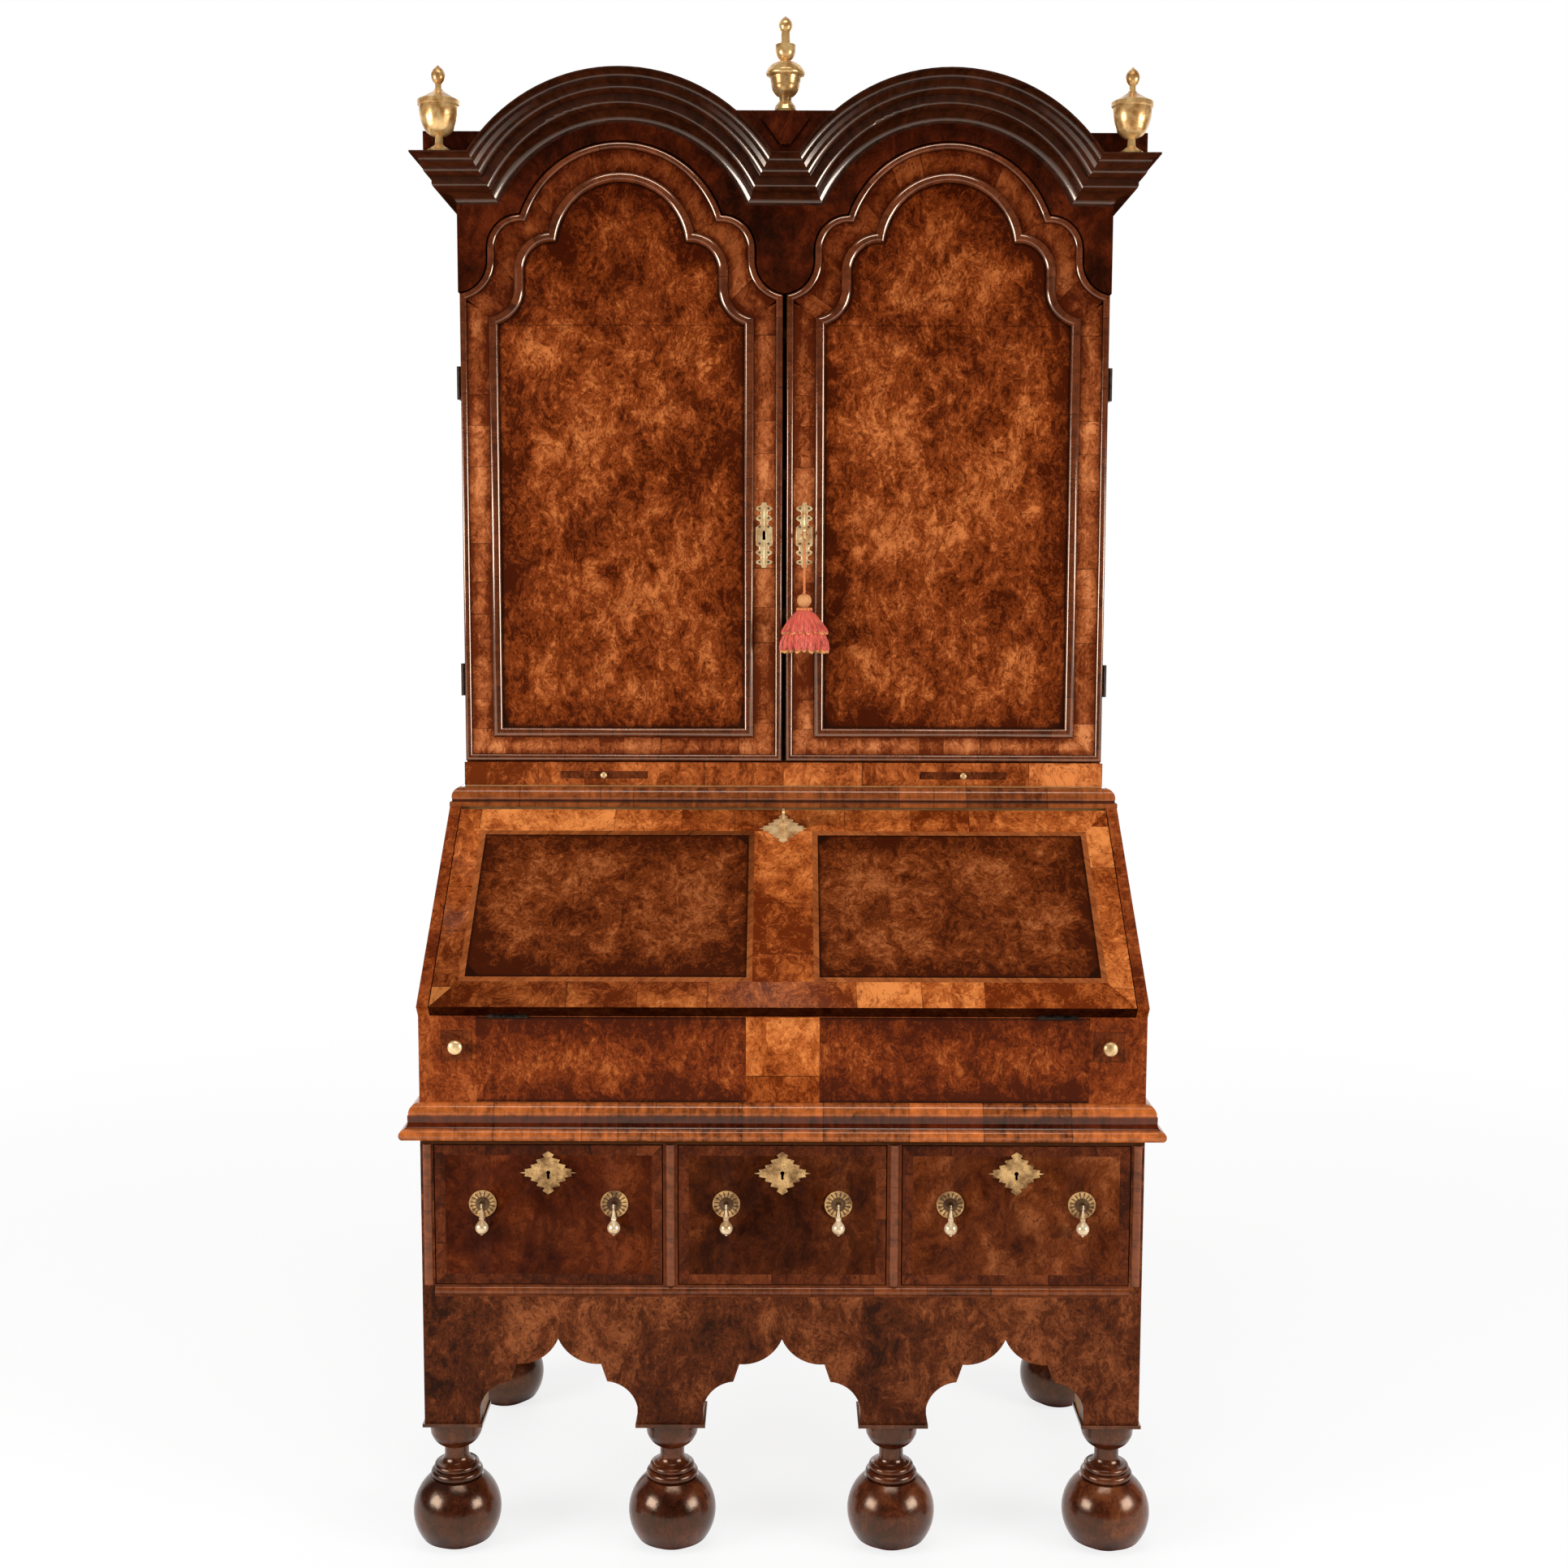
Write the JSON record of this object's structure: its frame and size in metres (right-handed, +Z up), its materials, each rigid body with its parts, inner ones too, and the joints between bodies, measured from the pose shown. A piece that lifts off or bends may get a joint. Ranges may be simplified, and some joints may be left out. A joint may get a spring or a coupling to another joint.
{
  "type": "bureau cabinet",
  "caption": "Double-domed walnut bureau cabinet on ball feet: arched doors over a sloping writing fall that opens onto sliding supports, with drawers in the arched stand.",
  "frame": {"origin": "on the floor, under the middle of the bounding box", "axes": "+Z up, +X to the viewer's right, +Y towards the back; the front faces -Y"},
  "size_m": [1.078, 0.597, 2.183],
  "materials": {
    "walnut_burr": "polished burr veneer",
    "walnut_banding": "polished cross-grain veneer",
    "walnut_dark": "dark polish",
    "oak": "dry, unpolished",
    "brass": "worn gilt and lacquer",
    "iron": "dark wrought",
    "silk_cord": "twisted silk",
    "silk_fringe": "silk fringe"
  },
  "bodies": {
    "carcase": {"feet": "walnut_dark", "leg_collars": "walnut_dark", "leg_blocks": "oak", "stand_apron": "walnut_dark", "stand_sides": "walnut_dark", "stand_boards": "oak", "drawer_frame": "walnut_banding", "drawer_beads": "walnut_banding", "stand_moulding": "walnut_banding", "bureau_sides": "walnut_burr", "bureau_front": "walnut_burr", "bureau_boards": "oak", "pigeonholes": "oak", "fall_hinge_plates": "iron", "waist_moulding": "walnut_banding", "upper_sides": "walnut_burr", "upper_boards": "oak", "candle_frieze": "walnut_banding", "spandrel_board": "walnut_dark", "cornice_moulding": "walnut_dark", "dome_boards": "oak", "plinth_blocks": "walnut_dark", "finials": "brass", "door_hinge_plates": "iron"},
    "door_left": {"door_left_board": "walnut_burr", "door_left_mouldings": "walnut_banding", "door_left_hinges": "iron", "door_left_escutcheon": "brass"},
    "door_right": {"door_right_board": "walnut_burr", "door_right_mouldings": "walnut_banding", "door_right_hinges": "iron", "door_right_escutcheon": "brass", "door_lock": "iron"},
    "door_key": {"door_key": "iron"},
    "tassel": {"tassel_cord": "silk_cord", "tassel": "silk_fringe"},
    "fall": {"fall_board": "walnut_burr", "fall_hinges": "iron", "fall_escutcheon": "brass"},
    "fall_key": {"fall_key": "iron"},
    "loper_left": {"loper_left": "walnut_burr"},
    "loper_right": {"loper_right": "walnut_burr"},
    "candle_slide_left": {"candle_slide_left": "walnut_burr"},
    "candle_slide_right": {"candle_slide_right": "walnut_burr"},
    "drawer_left": {"drawer_left_front": "walnut_burr", "drawer_left_box": "oak", "drawer_left_brasses": "brass"},
    "drop_left_left": {"drop_left_left": "brass"},
    "drop_left_right": {"drop_left_right": "brass"},
    "drawer_centre": {"drawer_centre_front": "walnut_burr", "drawer_centre_box": "oak", "drawer_centre_brasses": "brass"},
    "drop_centre_left": {"drop_centre_left": "brass"},
    "drop_centre_right": {"drop_centre_right": "brass"},
    "drawer_right": {"drawer_right_front": "walnut_burr", "drawer_right_box": "oak", "drawer_right_brasses": "brass"},
    "drop_right_left": {"drop_right_left": "brass"},
    "drop_right_right": {"drop_right_right": "brass"}
  },
  "joints": [
    {"name": "door_left_hinge", "type": "hinge", "parent": "carcase", "child": "door_left", "pos_m": [-0.481, 0.02078, 1.45], "axis": [0, 0, -1], "range_deg": [0, 110]},
    {"name": "door_right_hinge", "type": "hinge", "parent": "carcase", "child": "door_right", "pos_m": [0.481, 0.02078, 1.45], "axis": [0, 0, 1], "range_deg": [0, 110]},
    {"name": "door_key_turn", "type": "hinge", "parent": "door_right", "child": "door_key", "pos_m": [0.03, 0.01648, 1.434], "axis": [0, 1, 0], "range_deg": [0, 90]},
    {"name": "tassel_hang", "type": "hinge", "parent": "door_key", "child": "tassel", "pos_m": [0.03, -0.01552, 1.434], "axis": [0, 1, 0], "range_deg": [-92, 2]},
    {"name": "fall_hinge", "type": "hinge", "parent": "carcase", "child": "fall", "pos_m": [0, -0.2735, 0.77], "axis": [1, 0, 0], "range_deg": [0, 139]},
    {"name": "fall_key_turn", "type": "hinge", "parent": "fall", "child": "fall_key", "pos_m": [0, -0.03932, 1.00007], "axis": [0, -0.6561, 0.7547], "range_deg": [0, 90]},
    {"name": "loper_left_slide", "type": "slide", "parent": "carcase", "child": "loper_left", "axis": [0, -1, 0], "range_m": [0, 0.25]},
    {"name": "loper_right_slide", "type": "slide", "parent": "carcase", "child": "loper_right", "axis": [0, -1, 0], "range_m": [0, 0.25]},
    {"name": "candle_left_slide", "type": "slide", "parent": "carcase", "child": "candle_slide_left", "axis": [0, -1, 0], "range_m": [0, 0.14]},
    {"name": "candle_right_slide", "type": "slide", "parent": "carcase", "child": "candle_slide_right", "axis": [0, -1, 0], "range_m": [0, 0.14]},
    {"name": "drawer_left_slide", "type": "slide", "parent": "carcase", "child": "drawer_left", "axis": [0, -1, 0], "range_m": [0, 0.36]},
    {"name": "drop_left_left_swing", "type": "hinge", "parent": "drawer_left", "child": "drop_left_left", "pos_m": [-0.4145, -0.2855, 0.506], "axis": [-1, 0, 0], "range_deg": [0, 75]},
    {"name": "drop_left_right_swing", "type": "hinge", "parent": "drawer_left", "child": "drop_left_right", "pos_m": [-0.2325, -0.2855, 0.506], "axis": [-1, 0, 0], "range_deg": [0, 75]},
    {"name": "drawer_centre_slide", "type": "slide", "parent": "carcase", "child": "drawer_centre", "axis": [0, -1, 0], "range_m": [0, 0.36]},
    {"name": "drop_centre_left_swing", "type": "hinge", "parent": "drawer_centre", "child": "drop_centre_left", "pos_m": [-0.0775, -0.2855, 0.506], "axis": [-1, 0, 0], "range_deg": [0, 75]},
    {"name": "drop_centre_right_swing", "type": "hinge", "parent": "drawer_centre", "child": "drop_centre_right", "pos_m": [0.0775, -0.2855, 0.506], "axis": [-1, 0, 0], "range_deg": [0, 75]},
    {"name": "drawer_right_slide", "type": "slide", "parent": "carcase", "child": "drawer_right", "axis": [0, -1, 0], "range_m": [0, 0.36]},
    {"name": "drop_right_left_swing", "type": "hinge", "parent": "drawer_right", "child": "drop_right_left", "pos_m": [0.2325, -0.2855, 0.506], "axis": [-1, 0, 0], "range_deg": [0, 75]},
    {"name": "drop_right_right_swing", "type": "hinge", "parent": "drawer_right", "child": "drop_right_right", "pos_m": [0.4145, -0.2855, 0.506], "axis": [-1, 0, 0], "range_deg": [0, 75]}
  ],
  "couplings": [
    {"joint": "tassel_hang", "follows": "door_key_turn", "ratio": -1}
  ]
}
